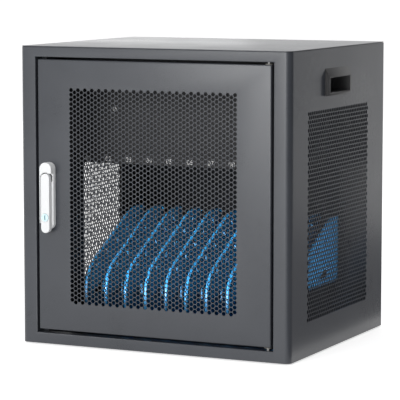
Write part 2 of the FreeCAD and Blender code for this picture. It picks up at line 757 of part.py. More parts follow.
def latch_cam():
    """Flat cam that swings behind the stile when the lever is turned."""
    body = new_body("latch_cam")
    half = "(Size.cam_width / 2)"
    radius = f"{half} * 0.99"
    outline = elevation(body, "outline", CAM_Y)
    rounded_rectangle(outline, f"{HANDLE_X} - {half}", f"{HANDLE_X} + {half}", f"{PIVOT_Z} - {half}",
                      f"{PIVOT_Z} + Size.cam_reach", [radius] * 4)
    circle(outline, HANDLE_X, PIVOT_Z, "Size.cam_seat_radius + Size.seat_clearance")
    pad(body, outline, "Size.cam_thickness", reverse=True)
    return body


def round_screw(name, x, y, z, backward):
    """Round-headed screw; backward is 1 when it is driven towards the rear, else -1."""
    body = new_body(name)
    half = plan(body, "half", "0")
    tip = f"{backward} * Size.screw_length"
    head = f"-{backward} * Size.screw_head"
    polygon(half, [("0", tip), ("Size.screw_radius", tip), ("Size.screw_radius", "0"),
                   ("Size.screw_head_radius", "0"), ("Size.screw_head_radius * 0.8", head), ("0", head)])
    revolve(body, half)
    place(body, x, y, z)
    return body


def carry_handle(name, sign):
    """Recessed plastic handle: a hood that slopes out of the panel over a tub sunk into it."""
    body = new_body(name)
    face = f"({sign} * {SIDE})"
    brow = f"({sign} * ({SIDE} + Size.grip_proud))"
    hood = elevation(body, "hood", f"{GRIP_Y} - Size.grip_length / 2")
    polygon(hood, [(face, GRIP_LOW), (brow, GRIP_LOW), (brow, GRIP_OPEN_HIGH), (face, GRIP_HIGH)])
    pad(body, hood, "Size.grip_length", reverse=True)
    tub = profile(body, "tub", face)
    rectangle(tub, f"{GRIP_Y} - {GRIP_OPEN} - Size.grip_wall", f"{GRIP_Y} + {GRIP_OPEN} + Size.grip_wall",
              f"{GRIP_OPEN_LOW} - Size.grip_wall", f"{GRIP_OPEN_HIGH} + Size.grip_wall")
    pad(body, tub, "Size.grip_depth", reverse=sign > 0)
    hollow = profile(body, "hollow", brow)
    rectangle(hollow, f"{GRIP_Y} - {GRIP_OPEN}", f"{GRIP_Y} + {GRIP_OPEN}", GRIP_OPEN_LOW, GRIP_OPEN_HIGH)
    pocket(body, hollow, "Size.grip_proud + Size.grip_depth - Size.grip_wall", reverse=sign < 0)
    return body


def inner_side(name, sign):
    """Upright plate of the rack with its window, foot flange and front flange."""
    body = new_body(name)
    outer = f"({sign} * {INNER_SIDE})"
    start = f"{outer} - Size.sheet" if sign > 0 else outer
    plate = profile(body, "plate", start)
    rectangle(plate, RACK_BACK_OF_FACE, REAR_FACE, FLOOR, CEILING)
    pad(body, plate, "Size.sheet")
    window = profile(body, "window", start)
    corner = "Size.window_corner"
    rounded_rectangle(window, f"{FRONT} + Size.window_setback",
                      f"{FRONT} + Size.window_setback + Size.window_length",
                      f"{BOTTOM} + Size.window_bottom", f"{SHELF} - Size.window_margin", [corner] * 4)
    pocket(body, window, "Size.sheet", reverse=True)
    foot = plan(body, "foot", FLOOR)
    edge = f"({sign} * ({INNER_SIDE} + Size.foot_flange))"
    low, high = (outer, edge) if sign > 0 else (edge, outer)
    rectangle(foot, low, high, RACK_BACK_OF_FACE, f"{REAR} - 2 * Size.flange")
    pad(body, foot, "Size.sheet")
    face = elevation(body, "face", RACK_BACK_OF_FACE)
    inner = f"({sign} * ({INNER_SIDE} - Size.front_flange))"
    low, high = (inner, outer) if sign > 0 else (outer, inner)
    rectangle(face, low, high, f"{SHELF} + Size.sheet", CEILING)
    pad(body, face, "Size.sheet", reverse=True)
    holes = elevation(body, "holes", RACK_BACK_OF_FACE)
    for level in (STRIP_SCREW_Z, f"({BOTTOM} + Size.cover_screw_level)"):
        circle(holes, f"{sign} * {FLANGE_SCREW_X}", level, SCREW_HOLE)
    pocket(body, holes, "Size.sheet")
    return body


def shelf():
    """Shelf over the bays, with the numbered strip turned up along its front."""
    body = new_body("shelf")
    sheet = plan(body, "sheet", SHELF)
    inner = f"({INNER_SIDE} - Size.sheet)"
    rectangle(sheet, f"-{inner}", inner, RACK_FRONT, REAR_FACE)
    pad(body, sheet, "Size.sheet")
    strip = elevation(body, "strip", RACK_FRONT)
    rectangle(strip, f"-{INNER_SIDE}", INNER_SIDE, SHELF, STRIP_TOP)
    pad(body, strip, "Size.sheet", reverse=True)
    holes = elevation(body, "holes", RACK_FRONT)
    for sign in (-1, 1):
        circle(holes, f"{sign} * {FLANGE_SCREW_X}", STRIP_SCREW_Z, SCREW_HOLE)
    pocket(body, holes, "Size.sheet")
    slot = plan(body, "slot", SHELF)
    half = "(Size.socket_width / 2 + Size.seat_clearance)"
    first = "(-(Size.bay_count - 1) * Size.bay_pitch / 2)"
    near = f"({FRONT} + Size.socket_setback - Size.seat_clearance)"
    rectangle(slot, f"{first} - {half}", f"{first} + {half}", near,
              f"{near} + Size.socket_depth + 2 * Size.seat_clearance")
    cut = pocket(body, slot, "Size.sheet", reverse=True)
    repeat(body, cut, slot, ("H_Axis", "(Size.bay_count - 1) * Size.bay_pitch", "Size.bay_count"))
    return body


def upper_cover():
    """Plate that closes the upper compartment and carries the power supply."""
    body = new_body("upper_cover")
    sheet = elevation(body, "sheet", RACK_FRONT)
    rectangle(sheet, f"-{INNER_SIDE}", INNER_SIDE, f"{STRIP_TOP} + Size.seam", f"{CEILING} - Size.seam")
    pad(body, sheet, "Size.sheet", reverse=True)
    holes = elevation(body, "holes", RACK_FRONT)
    for sign in (-1, 1):
        circle(holes, f"{sign} * {FLANGE_SCREW_X}", f"{BOTTOM} + Size.cover_screw_level", SCREW_HOLE)
        circle(holes, f"{sign} * Size.supply_screw_spread", f"{BOTTOM} + Size.supply_screw_level", SCREW_HOLE)
    pocket(body, holes, "Size.sheet")
    return body


def power_supply():
    body = new_body("power_supply")
    level = f"({BOTTOM} + Size.supply_screw_level)"
    block = elevation(body, "block", RACK_BACK_OF_FACE)
    rounded_rectangle(block, "-Size.supply_width / 2", "Size.supply_width / 2",
                      f"{level} - Size.supply_height / 2", f"{level} + Size.supply_height / 2",
                      ["Size.supply_edge"] * 4)
    pad(body, block, "Size.supply_depth", reverse=True)
    holes = elevation(body, "holes", RACK_BACK_OF_FACE)
    for sign in (-1, 1):
        circle(holes, f"{sign} * Size.supply_screw_spread", level, SCREW_HOLE)
    pocket(body, holes, "Size.screw_length")
    return body


def port_board():
    """Circuit board on the shelf with one downward socket for each bay."""
    body = new_body("port_board")
    top_of_shelf = f"({SHELF} + Size.sheet)"
    under = f"({top_of_shelf} + Size.socket_height)"
    span = "((Size.bay_count - 1) * Size.bay_pitch / 2)"
    board = plan(body, "board", under)
    rectangle(board, f"-{span} - Size.board_end", f"{span} + Size.board_end", f"{FRONT} + Size.board_setback",
              f"{FRONT} + Size.board_setback + Size.board_depth")
    pad(body, board, "Size.board_thickness")
    near = f"({FRONT} + Size.socket_setback)"
    half = "(Size.socket_width / 2)"
    run = ("H_Axis", f"2 * {span}", "Size.bay_count")
    shoulder = plan(body, "shoulder", top_of_shelf)
    rectangle(shoulder, f"-{span} - {half} - Size.socket_shoulder",
              f"-{span} + {half} + Size.socket_shoulder",
              f"{near} - Size.socket_shoulder", f"{near} + Size.socket_depth + Size.socket_shoulder")
    repeat(body, pad(body, shoulder, "Size.socket_height"), shoulder, run)
    nose = plan(body, "nose", f"{SHELF} - Size.socket_drop")
    rectangle(nose, f"-{span} - {half}", f"-{span} + {half}", near, f"{near} + Size.socket_depth")
    repeat(body, pad(body, nose, "Size.socket_drop + Size.sheet"), nose, run)
    port = plan(body, "port", f"{SHELF} - Size.socket_drop")
    middle = f"({near} + Size.socket_depth / 2)"
    rectangle(port, f"-{span} - Size.port_width / 2", f"-{span} + Size.port_width / 2",
              f"{middle} - Size.port_depth / 2", f"{middle} + Size.port_depth / 2")
    repeat(body, pocket(body, port, "Size.port_recess", reverse=True), port, run)
    return body


def rack_rail(name, setback):
    """Bar on the floor with a slot for each divider."""
    body = new_body(name)
    half = f"({INNER_SIDE} - Size.sheet)"
    near = f"({FRONT} + {setback})"
    bar = plan(body, "bar", FLOOR)
    rectangle(bar, f"-{half}", half, near, f"{near} + Size.rail_width")
    pad(body, bar, "Size.rail_height")
    slot = plan(body, "slot", f"{FLOOR} + Size.rail_height")
    first = "(-Size.bay_count * Size.bay_pitch / 2)"
    reach = "(Size.divider_thickness / 2 + Size.seat_clearance)"
    rectangle(slot, f"{first} - {reach}", f"{first} + {reach}", near, f"{near} + Size.rail_width")
    cut = pocket(body, slot, "Size.rail_slot")
    repeat(body, cut, slot, ("H_Axis", "Size.bay_count * Size.bay_pitch", "Size.bay_count + 1"))
    return body


def divider(name, index):
    """Swept-back plastic divider standing in the slots of both rails."""
    body = new_body(name)
    low = f"({FLOOR} + Size.rail_height - Size.rail_slot)"
    near = f"({FRONT} + Size.divider_front)"
    far = f"({FRONT} + Size.divider_rear)"
    nose = f"({BOTTOM} + Size.divider_nose)"
    top = f"({BOTTOM} + Size.divider_top)"
    shoulder = f"({near} + (Size.divider_top - Size.divider_nose) / tan(Size.divider_slope * 1 deg))"
    outline = profile(body, "outline", "-Size.divider_thickness / 2")
    polygon(outline, [(near, low), (far, low), (far, top), (shoulder, top), (near, nose)])
    plate = pad(body, outline, "Size.divider_thickness")

    def at(y, z):
        place_y, place_z = number(y), number(z)
        return lambda edge: (edge.BoundBox.XLength > 1 and abs(edge.BoundBox.YMin - place_y) < 0.01
                             and abs(edge.BoundBox.ZMin - place_z) < 0.01)

    plate = round_edges(body, plate, "Size.divider_top_radius", at(shoulder, top))
    plate = round_edges(body, plate, "Size.divider_nose_radius", at(near, nose))
    round_edges(body, plate, "Size.divider_heel_radius", at(far, top))
    webs = profile(body, "webs", "-Size.divider_thickness / 2")
    for step in (0, 1):
        corner = f"({FRONT} + Size.web_front + {step} * Size.web_spacing)"
        floor = f"({BOTTOM} + Size.web_bottom + {step} * Size.web_rise)"
        heel = f"({corner} + Size.web_length)"
        polygon(webs, [(corner, floor), (heel, floor),
                       (heel, f"{floor} + Size.web_length * tan(Size.divider_slope * 1 deg)")])
    pocket(body, webs, "Size.divider_thickness", reverse=True)
    place(body, x=f"({index} - Size.bay_count / 2) * Size.bay_pitch")
    return body


def power_inlet():
    """Panel inlet with three blades below and a well for the switch above."""
    body = new_body("power_inlet")
    x = "Size.inlet_offset"
    half_width = "(Size.inlet_width / 2)"
    half_height = "(Size.inlet_height / 2)"
    corner = ["Size.inlet_corner"] * 4
    rim = elevation(body, "rim", REAR)
    rounded_rectangle(rim, f"{x} - {half_width} - Size.inlet_rim", f"{x} + {half_width} + Size.inlet_rim",
                      f"{INLET_Z} - {half_height} - Size.inlet_rim",
                      f"{INLET_Z} + {half_height} + Size.inlet_rim", corner)
    pad(body, rim, "Size.inlet_proud", reverse=True)
    block = elevation(body, "block", REAR)
    rectangle(block, f"{x} - {half_width}", f"{x} + {half_width}", f"{INLET_Z} - {half_height}",
              f"{INLET_Z} + {half_height}")
    pad(body, block, "Size.inlet_body")
    face = f"({REAR} + Size.inlet_proud)"
    socket_z = f"({INLET_Z} - Size.socket_opening_drop)"
    socket = elevation(body, "socket", face)
    rectangle(socket, f"{x} - Size.socket_opening_width / 2", f"{x} + Size.socket_opening_width / 2",
              f"{socket_z} - Size.socket_opening_height / 2", f"{socket_z} + Size.socket_opening_height / 2")
    pocket(body, socket, "Size.socket_opening_depth", reverse=True)
    blades = elevation(body, "blades", f"{face} - Size.socket_opening_depth")
    for step, rise in ((-1, -1), (0, 1), (1, -1)):
        middle = f"({x} + {step} * Size.blade_spread)"
        level = f"({socket_z} + {rise} * Size.blade_width / 2)"
        rectangle(blades, f"{middle} - Size.blade_thickness / 2", f"{middle} + Size.blade_thickness / 2",
                  f"{level} - Size.blade_width / 2", f"{level} + Size.blade_width / 2")
    pad(body, blades, "Size.blade_length", reverse=True)
    well = elevation(body, "well", face)
    gap = "Size.turning_clearance"
    rectangle(well, f"{x} - Size.rocker_width / 2 - {gap}", f"{x} + Size.rocker_width / 2 + {gap}",
              f"{ROCKER_Z} - Size.rocker_radius - {gap}", f"{ROCKER_Z} + Size.rocker_radius + {gap}")
    pocket(body, well, "Size.rocker_well", reverse=True)
    return body


def switch_rocker():
    """Rocker with a two-sloped face, turned down to a half round about its pivot."""
    body = new_body("switch_rocker")
    middle = f"({REAR} + Size.inlet_proud - Size.rocker_sink)"
    rim = "(Size.rocker_radius * tan(Size.rocker_slope * 1 deg))"
    drum = profile(body, "drum", "Size.inlet_offset - Size.rocker_width / 2")
    circle(drum, middle, ROCKER_Z, "Size.rocker_radius")
    pad(body, drum, "Size.rocker_width")
    faces = profile(body, "faces", "Size.inlet_offset - Size.rocker_width / 2")
    beyond = f"{middle} + 2 * Size.rocker_radius"
    high = f"{ROCKER_Z} + 2 * Size.rocker_radius"
    low = f"{ROCKER_Z} - 2 * Size.rocker_radius"
    polygon(faces, [(middle, ROCKER_Z), (f"{middle} + 2 * {rim}", low), (beyond, low), (beyond, high),
                    (middle, high)])
    pocket(body, faces, "Size.rocker_width", reverse=True)
    return body


def build():
    bodies = [front_frame(), side_panel("left_side_panel", -1), side_panel("right_side_panel", 1),
              top_panel(), base_pan(), rear_panel()]
    for word, end in (("front", -1), ("rear", 1)):
        bodies.append(rubber_foot(f"foot_{word}_left", -1, end))
        bodies.append(rubber_foot(f"foot_{word}_right", 1, end))
    bodies.append(door_panel())
    bodies.append(hinge_pin("hinge_pin_top", f"{OPEN_TOP} + Size.sheet", 1))
    bodies.append(hinge_pin("hinge_pin_bottom", f"{OPEN_BOTTOM} - Size.sheet", -1))
    bodies.append(hinge_bush("hinge_bush_top", DOOR_TOP, 1))
    bodies.append(hinge_bush("hinge_bush_bottom", DOOR_BOTTOM, -1))
    bodies += [door_bumper("door_bumper_upper", 1), door_bumper("door_bumper_lower", -1)]
    bodies += [handle_housing(), handle_nut(), spindle(), lever(), lever_pin(), lock_plug(), latch_cam()]
    bodies.append(round_screw("cam_screw", HANDLE_X, f"{CAM_Y} + Size.cam_thickness", PIVOT_Z, -1))
    bodies += [carry_handle("carry_handle_left", -1), carry_handle("carry_handle_right", 1)]
    bodies += [inner_side("inner_side_left", -1), inner_side("inner_side_right", 1), shelf(), upper_cover(),
               power_supply(), port_board()]
    for word, sign in (("left", -1), ("right", 1)):
        supply_z = f"{BOTTOM} + Size.supply_screw_level"
        cover_z = f"{BOTTOM} + Size.cover_screw_level"
        edge_x = f"{sign} * {FLANGE_SCREW_X}"
        bodies.append(round_screw(f"supply_screw_{word}", f"{sign} * Size.supply_screw_spread", RACK_FRONT,
                                  supply_z, 1))
        bodies.append(round_screw(f"cover_screw_{word}", edge_x, RACK_FRONT, cover_z, 1))
        bodies.append(round_screw(f"strip_screw_{word}", edge_x, RACK_FRONT, STRIP_SCREW_Z, 1))
    bodies += [rack_rail("rack_rail_front", "Size.rail_front"), rack_rail("rack_rail_rear", "Size.rail_rear")]
    for index in range(SIZES["bay_count"] + 1):
        bodies.append(divider(f"divider_{index + 1:02d}", index))
    bodies += [power_inlet(), switch_rocker()]
    return bodies


bodies = build()
document.recompute()
for item in document.Objects:
    if "Invalid" in item.State or "Error" in item.State:
        raise RuntimeError(f"{item.Label} did not build: {item.State}")
os.makedirs("parts", exist_ok=True)
for body in bodies:
    shape = body.Shape
    if not shape.isValid() or len(shape.Solids) != 1:
        raise RuntimeError(f"{body.Label} is not one valid solid")
    shape.exportStep(f"parts/{body.Label}.step")
print(f"{len(bodies)} pieces written")
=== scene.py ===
"""Looks of the device charging cabinet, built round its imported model. Lengths are in metres."""

import json
import math

import bmesh
import bpy
from mathutils import Matrix, Vector


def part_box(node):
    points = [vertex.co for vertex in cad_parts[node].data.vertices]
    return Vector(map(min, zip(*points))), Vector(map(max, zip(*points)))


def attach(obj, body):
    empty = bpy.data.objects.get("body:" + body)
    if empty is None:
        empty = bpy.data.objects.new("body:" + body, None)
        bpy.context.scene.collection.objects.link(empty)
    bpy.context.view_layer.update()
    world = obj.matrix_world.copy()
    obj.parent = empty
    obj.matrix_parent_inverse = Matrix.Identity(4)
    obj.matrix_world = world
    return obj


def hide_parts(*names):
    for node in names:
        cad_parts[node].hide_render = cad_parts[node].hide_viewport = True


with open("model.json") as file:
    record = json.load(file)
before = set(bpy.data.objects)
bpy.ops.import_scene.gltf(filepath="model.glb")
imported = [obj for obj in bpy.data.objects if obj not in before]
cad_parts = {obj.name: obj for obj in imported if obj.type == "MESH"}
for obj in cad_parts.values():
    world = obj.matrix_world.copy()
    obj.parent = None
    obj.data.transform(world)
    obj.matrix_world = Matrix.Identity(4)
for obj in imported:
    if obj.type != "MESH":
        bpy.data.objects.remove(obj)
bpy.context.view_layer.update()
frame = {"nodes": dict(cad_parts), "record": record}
nodes = frame["nodes"]
scene = bpy.context.scene


# Materials

DRIFT_DETAIL = 4.0
GRAIN_DETAIL = 2.0
GRAIN_SHARE = 0.45
TONE_LOW = 0.3
TONE_HIGH = 0.7


def link(tree, source, output, target, socket):
    tree.links.new(source.outputs[output], target.inputs[socket])


def calculation(tree, operation):
    node = tree.nodes.new("ShaderNodeMath")
    node.operation = operation
    return node


def noise(tree, coordinates, scale, detail, stretch=None):
    """Noise texture in object space; stretch is a scale for each axis."""
    texture = tree.nodes.new("ShaderNodeTexNoise")
    texture.inputs["Scale"].default_value = scale
    texture.inputs["Detail"].default_value = detail
    if stretch:
        mapping = tree.nodes.new("ShaderNodeMapping")
        mapping.inputs["Scale"].default_value = stretch
        link(tree, coordinates, "Object", mapping, "Vector")
        link(tree, mapping, "Vector", texture, "Vector")
    else:
        link(tree, coordinates, "Object", texture, "Vector")
    return texture


def surface(name, dark, light, rough, spread=0.06, metallic=0.0, cloud=14.0, grain=1400.0, height=0.00003,
            strength=0.25, stretch=None, sockets=None):
    """Finish that drifts between two tones and two roughnesses, with a fine grain in both and in the bump.

    cloud and grain are the scales of the drift and of the grain, height and strength are the bump's."""
    made = bpy.data.materials.new(name)
    made.use_nodes = True
    tree = made.node_tree
    shader = tree.nodes["Principled BSDF"]
    coordinates = tree.nodes.new("ShaderNodeTexCoord")
    drift = noise(tree, coordinates, cloud, DRIFT_DETAIL)
    fine = noise(tree, coordinates, grain, GRAIN_DETAIL, stretch)
    drift_part = calculation(tree, "MULTIPLY")
    drift_part.inputs[1].default_value = 1.0 - GRAIN_SHARE
    link(tree, drift, "Fac", drift_part, 0)
    blend = calculation(tree, "MULTIPLY_ADD")
    blend.inputs[1].default_value = GRAIN_SHARE
    link(tree, fine, "Fac", blend, 0)
    link(tree, drift_part, "Value", blend, 2)
    ramp = tree.nodes.new("ShaderNodeValToRGB")
    ramp.color_ramp.elements[0].position = TONE_LOW
    ramp.color_ramp.elements[0].color = (*dark, 1.0)
    ramp.color_ramp.elements[1].position = TONE_HIGH
    ramp.color_ramp.elements[1].color = (*light, 1.0)
    link(tree, blend, "Value", ramp, "Fac")
    link(tree, ramp, "Color", shader, "Base Color")
    roughness = tree.nodes.new("ShaderNodeMapRange")
    roughness.inputs["From Min"].default_value = TONE_LOW
    roughness.inputs["From Max"].default_value = TONE_HIGH
    roughness.inputs["To Min"].default_value = rough - spread
    roughness.inputs["To Max"].default_value = rough + spread
    link(tree, blend, "Value", roughness, "Value")
    link(tree, roughness, "Result", shader, "Roughness")
    bump = tree.nodes.new("ShaderNodeBump")
    bump.inputs["Strength"].default_value = strength
    bump.inputs["Distance"].default_value = height
    link(tree, fine, "Fac", bump, "Height")
    link(tree, bump, "Normal", shader, "Normal")
    shader.inputs["Metallic"].default_value = metallic
    for socket, value in (sockets or {}).items():
        shader.inputs[socket].default_value = value
    return made


case_paint = surface("case_paint", (0.043, 0.047, 0.056), (0.054, 0.059, 0.070), 0.30, spread=0.05)
rack_paint = surface("rack_paint", (0.036, 0.036, 0.038), (0.050, 0.050, 0.053), 0.60,
                     sockets={"Specular IOR Level": 0.25})
# Darker copy of the case paint, with less sheen, for the rear panel and base pan: the darker tone is painted
# shade that keeps the cabinet's inside dark.
shaded_rear_paint = surface("shaded_rear_paint", (0.036, 0.038, 0.043), (0.048, 0.051, 0.057), 0.62,
                     sockets={"Specular IOR Level": 0.12})
divider_blue = surface("divider_blue", (0.018, 0.21, 0.50), (0.030, 0.29, 0.62), 0.34, cloud=30.0,
                       grain=2600.0, height=0.00001, sockets={"Specular IOR Level": 0.9})
handle_silver = surface("handle_silver", (0.86, 0.87, 0.88), (0.93, 0.94, 0.95), 0.40, grain=2400.0,
                        height=0.00001, strength=0.12, sockets={"Specular IOR Level": 0.3})
bright_steel = surface("bright_steel", (0.55, 0.55, 0.54), (0.72, 0.72, 0.71), 0.26, metallic=1.0,
                       grain=1800.0, stretch=(1.0, 1.0, 0.08))
lock_chrome = surface("lock_chrome", (0.52, 0.68, 0.72), (0.62, 0.77, 0.81), 0.2, metallic=0.8,
                      grain=1600.0, height=0.00001)
bush_nylon = surface("bush_nylon", (0.14, 0.135, 0.12), (0.20, 0.195, 0.18), 0.55)
black_rubber = surface("black_rubber", (0.012, 0.012, 0.012), (0.022, 0.022, 0.022), 0.75, strength=0.5)
black_plastic = surface("black_plastic", (0.024, 0.024, 0.026), (0.036, 0.036, 0.038), 0.42, grain=1100.0,
                        height=0.00005, strength=0.4)
supply_case = surface("supply_case", (0.48, 0.48, 0.49), (0.58, 0.58, 0.59), 0.36, metallic=1.0,
                      grain=900.0, stretch=(0.05, 1.0, 1.0))
board_green = surface("board_green", (0.01, 0.10, 0.045), (0.018, 0.15, 0.07), 0.35, cloud=120.0)
number_white = surface("number_white", (0.80, 0.80, 0.80), (0.90, 0.90, 0.90), 0.5)
screw_zinc = surface("screw_zinc", (0.86, 0.86, 0.85), (0.94, 0.94, 0.93), 0.4, metallic=0.5, grain=1800.0)
pin_steel = surface("pin_steel", (0.16, 0.16, 0.16), (0.24, 0.24, 0.24), 0.38, metallic=1.0, grain=1800.0)

finishes = {"case_paint": case_paint, "rack_paint": rack_paint, "divider_blue": divider_blue,
            "handle_silver": handle_silver, "bright_steel": bright_steel, "lock_chrome": lock_chrome,
            "bush_nylon": bush_nylon, "black_rubber": black_rubber, "black_plastic": black_plastic,
            "supply_case": supply_case, "board_green": board_green}
own_finishes = {"hinge_pin_top": pin_steel, "hinge_pin_bottom": pin_steel, "rear_panel": shaded_rear_paint,
                "base_pan": shaded_rear_paint, "cover_screw_left": screw_zinc, "cover_screw_right": screw_zinc}
for part in frame["record"]["subparts"]:
    carried = nodes[part["node"]].data.materials
    carried.clear()
    carried.append(own_finishes.get(part["node"], finishes[part["material_slot"]]))


# Mesh helpers

SMOOTH_LIMIT = 35.0
MICRONS = 1e6


def shade(mesh, limit=SMOOTH_LIMIT):
    """Smooth shading broken at edges that turn by more than the limit, in degrees."""
    made = bmesh.new()
    made.from_mesh(mesh)
    for face in made.faces:
        face.smooth = True
    for edge in made.edges:
        edge.smooth = len(edge.link_faces) == 2 and edge.calc_face_angle(0.0) < math.radians(limit)
    made.to_mesh(mesh)
    made.free()


def piece(name, made, finish, body, replaced=(), limit=SMOOTH_LIMIT):
    """Object from a bmesh, riding on a body and standing for CAD nodes."""
    mesh = bpy.data.meshes.new(name)
    made.to_mesh(mesh)
    made.free()
    mesh.materials.append(finish)
    shade(mesh, limit)
    built = bpy.data.objects.new(name, mesh)
    scene.collection.objects.link(built)
    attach(built, body)
    if replaced:
        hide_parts(*replaced)
    return built


def solid_sheet(built, depth):
    """Sheet thickness behind the faces, applied to the mesh."""
    modifier = built.modifiers.new("thickness", "SOLIDIFY")
    modifier.thickness = depth
    modifier.offset = -1.0
    modifier.use_even_offset = True
    graph = bpy.context.evaluated_depsgraph_get()
    mesh = bpy.data.meshes.new_from_object(built.evaluated_get(graph))
    built.modifiers.clear()
    old = built.data
    built.data = mesh
    bpy.data.meshes.remove(old)
    shade(mesh)


def punched(made, centres, cell, hole):
    """Webs of a punched field in the plane z = 0, a ring of faces round each hole. Returns its rim edges."""
    shared = {}
    for u, v in centres:
        ring = []
        for du, dv in cell:
            key = (round((u + du) * MICRONS), round((v + dv) * MICRONS))
            near = [(key[0] + a, key[1] + b) for a in (-1, 0, 1) for b in (-1, 0, 1)]
            known = [spot for spot in near if spot in shared]
            if not known:
                shared[key] = made.verts.new((u + du, v + dv, 0.0))
                known = [key]
            ring.append(shared[known[0]])
        inner = [made.verts.new((u + du, v + dv, 0.0)) for du, dv in hole]
        band(made, ring, inner)
    corners = set(shared.values())
    return [edge for edge in made.edges
            if len(edge.link_faces) == 1 and edge.verts[0] in corners and edge.verts[1] in corners]


def loop(made, points):
    """Closed chain of edges through points (u, v) in the plane z = 0."""
    verts = [made.verts.new((u, v, 0.0)) for u, v in points]
    edges = [made.edges.new((verts[step - 1], verts[step])) for step in range(len(verts))]
    return verts, edges


def fill(made, edges):
    """Flat faces between closed chains of edges in the plane z = 0, all facing up."""
    bmesh.ops.triangle_fill(made, use_beauty=True, use_dissolve=False, edges=edges)
    for face in made.faces:
        if face.normal.z < 0.0:
            face.normal_flip()


def rectangle(left, right, low, high):
    return [(left, low), (right, low), (right, high), (left, high)]


def arc(count):
    """Pairs (turned, reached) along a quarter turn, each rising to 1."""
    angles = [math.pi / 2 * step / count for step in range(1, count + 1)]
    return [(1.0 - math.cos(angle), math.sin(angle)) for angle in angles]


def strip(made, start, end):
    """Faces between two chains of the same length."""
    for step in range(len(start) - 1):
        made.faces.new((start[step], start[step + 1], end[step + 1], end[step]))


def band(made, start, end):
    """Faces between two closed rings of the same length."""
    strip(made, start + start[:1], end + end[:1])


def circle(u, v, radius, count=32):
    turns = [2.0 * math.pi * step / count for step in range(count)]
    return [(u + radius * math.cos(turn), v + radius * math.sin(turn)) for turn in turns]


def rounded(corners, steps):
    """Counter-clockwise outline through corners (u, v, radius), each turned as an arc."""
    points = []
    for index, (u, v, radius) in enumerate(corners):
        here = Vector((u, v))
        before = (Vector(corners[index - 1][:2]) - here).normalized()
        after = (Vector(corners[(index + 1) % len(corners)][:2]) - here).normalized()
        if not radius:
            points.append((u, v))
            continue
        half = before.angle(after) / 2.0
        centre = here + (before + after).normalized() * (radius / math.sin(half))
        arm = here + before * (radius / math.tan(half)) - centre
        sweep = math.copysign(math.pi - 2.0 * half, -before.cross(after))
        for step in range(steps + 1):
            turned = Matrix.Rotation(sweep * step / steps, 2) @ arm
            points.append(tuple(centre + turned))
    return points


def shrunk(points, inset):
    """A counter-clockwise outline moved inwards by the inset."""
    moved = []
    for index, point in enumerate(points):
        here = Vector(point)
        arriving = (here - Vector(points[index - 1])).normalized()
        leaving = (Vector(points[(index + 1) % len(points)]) - here).normalized()
        first = Vector((-arriving.y, arriving.x))
        second = Vector((-leaving.y, leaving.x))
        moved.append(tuple(here + (first + second) * (inset / (1.0 + first.dot(second)))))
    return moved


def rounding(base, height, edge, count):
    """Profile (inset, height) of an upright wall whose top edge is rounded."""
    turns = [(edge * turned, height - edge + edge * reached) for turned, reached in arc(count)]
    return [(0.0, base), (0.0, height - edge)] + turns


def raised(made, points, profile, place):
    """Skin through an outline at each (inset, height) of a profile. Returns the first and last ring."""
    first = last = None
    for inset, height in profile:
        ring = placed(made, shrunk(points, inset), height, place)
        if last:
            band(made, last, ring)
        first = first or ring
        last = ring
    return first, last


def placed(made, points, height, place):
    """Vertices at points (u, v) of one height, where place puts them."""
    return [made.verts.new(place(u, v, height)) for u, v in points]


def cap(made, *rings):
    """Flat face within the first ring, open inside the others."""
    edges = []
    for ring in rings:
        for step in range(len(ring)):
            pair = (ring[step - 1], ring[step])
            edges.append(made.edges.get(pair) or made.edges.new(pair))
    bmesh.ops.triangle_fill(made, use_beauty=True, use_dissolve=False, edges=edges)


def close(made):
    """Turns all faces of a closed mesh outwards."""
    bmesh.ops.recalc_face_normals(made, faces=made.faces)
    return made


def plate(made, outline, holes, low, high, edge, place, count=4):
    """Flat solid between two heights, with rounded edges and straight holes."""
    turns = [(edge * (1.0 - reached), edge * turned) for turned, reached in [(0.0, 0.0)] + arc(count)]
    profile = [(inset, low + height) for inset, height in turns]
    profile += [(inset, high - height) for inset, height in reversed(turns)]
    first, last = raised(made, outline, profile, place)
    lower = [placed(made, hole, low, place) for hole in holes]
    upper = [placed(made, hole, high, place) for hole in holes]
    for start, end in zip(lower, upper):
        band(made, start, end)
    cap(made, first, *lower)
    cap(made, last, *upper)


# Measures from the frame

door_low, door_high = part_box("door_panel")
side_low, side_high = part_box("right_side_panel")
FRONT = door_low.y
SIDE = side_high.x
REAR = side_high.y
BOTTOM = side_low.z
CEILING = side_high.z
CORNER_END = side_low.y


# Sizes of the sheet metal and of the bays

SHEET = 0.0015
CORNER = 0.008
STILE = 0.0225
RAIL = 0.014
RETURN = 0.018
LIP = 0.007
BAY = 0.0297
BAY_COUNT = 10


# Punched fields: six-sided holes in staggered rows

HOLE = 0.005
HOLE_REACH = HOLE / math.sqrt(3.0)
STAGGER = 0.5


def six_sided(far, near, half):
    """Corners of a hexagon: two at far along u, and four at near along u and half along v."""
    return [(far, 0.0), (near, half), (-near, half), (-far, 0.0), (-near, -half), (near, -half)]


def staggered_cell(step, pitch):
    """Cell of a field whose columns, a step apart, hold holes a pitch apart."""
    far = (step * step + pitch * pitch / 4.0) / (2.0 * step)
    return six_sided(far, step - far, pitch / 2)


def quarter_turn(points):
    return [(-v, u) for u, v in points]


PUNCH = six_sided(HOLE_REACH, HOLE_REACH / 2, HOLE / 2)


# Door: punched pan with its edges turned back

DOOR_COLUMN = 0.005015
DOOR_PITCH = 0.00603
DOOR_COLUMNS = 47
DOOR_ROWS = 46
DOOR_EDGE = 0.0022
DOOR_EDGE_STEPS = 5
DOOR_DEPTH = door_high.y - door_low.y


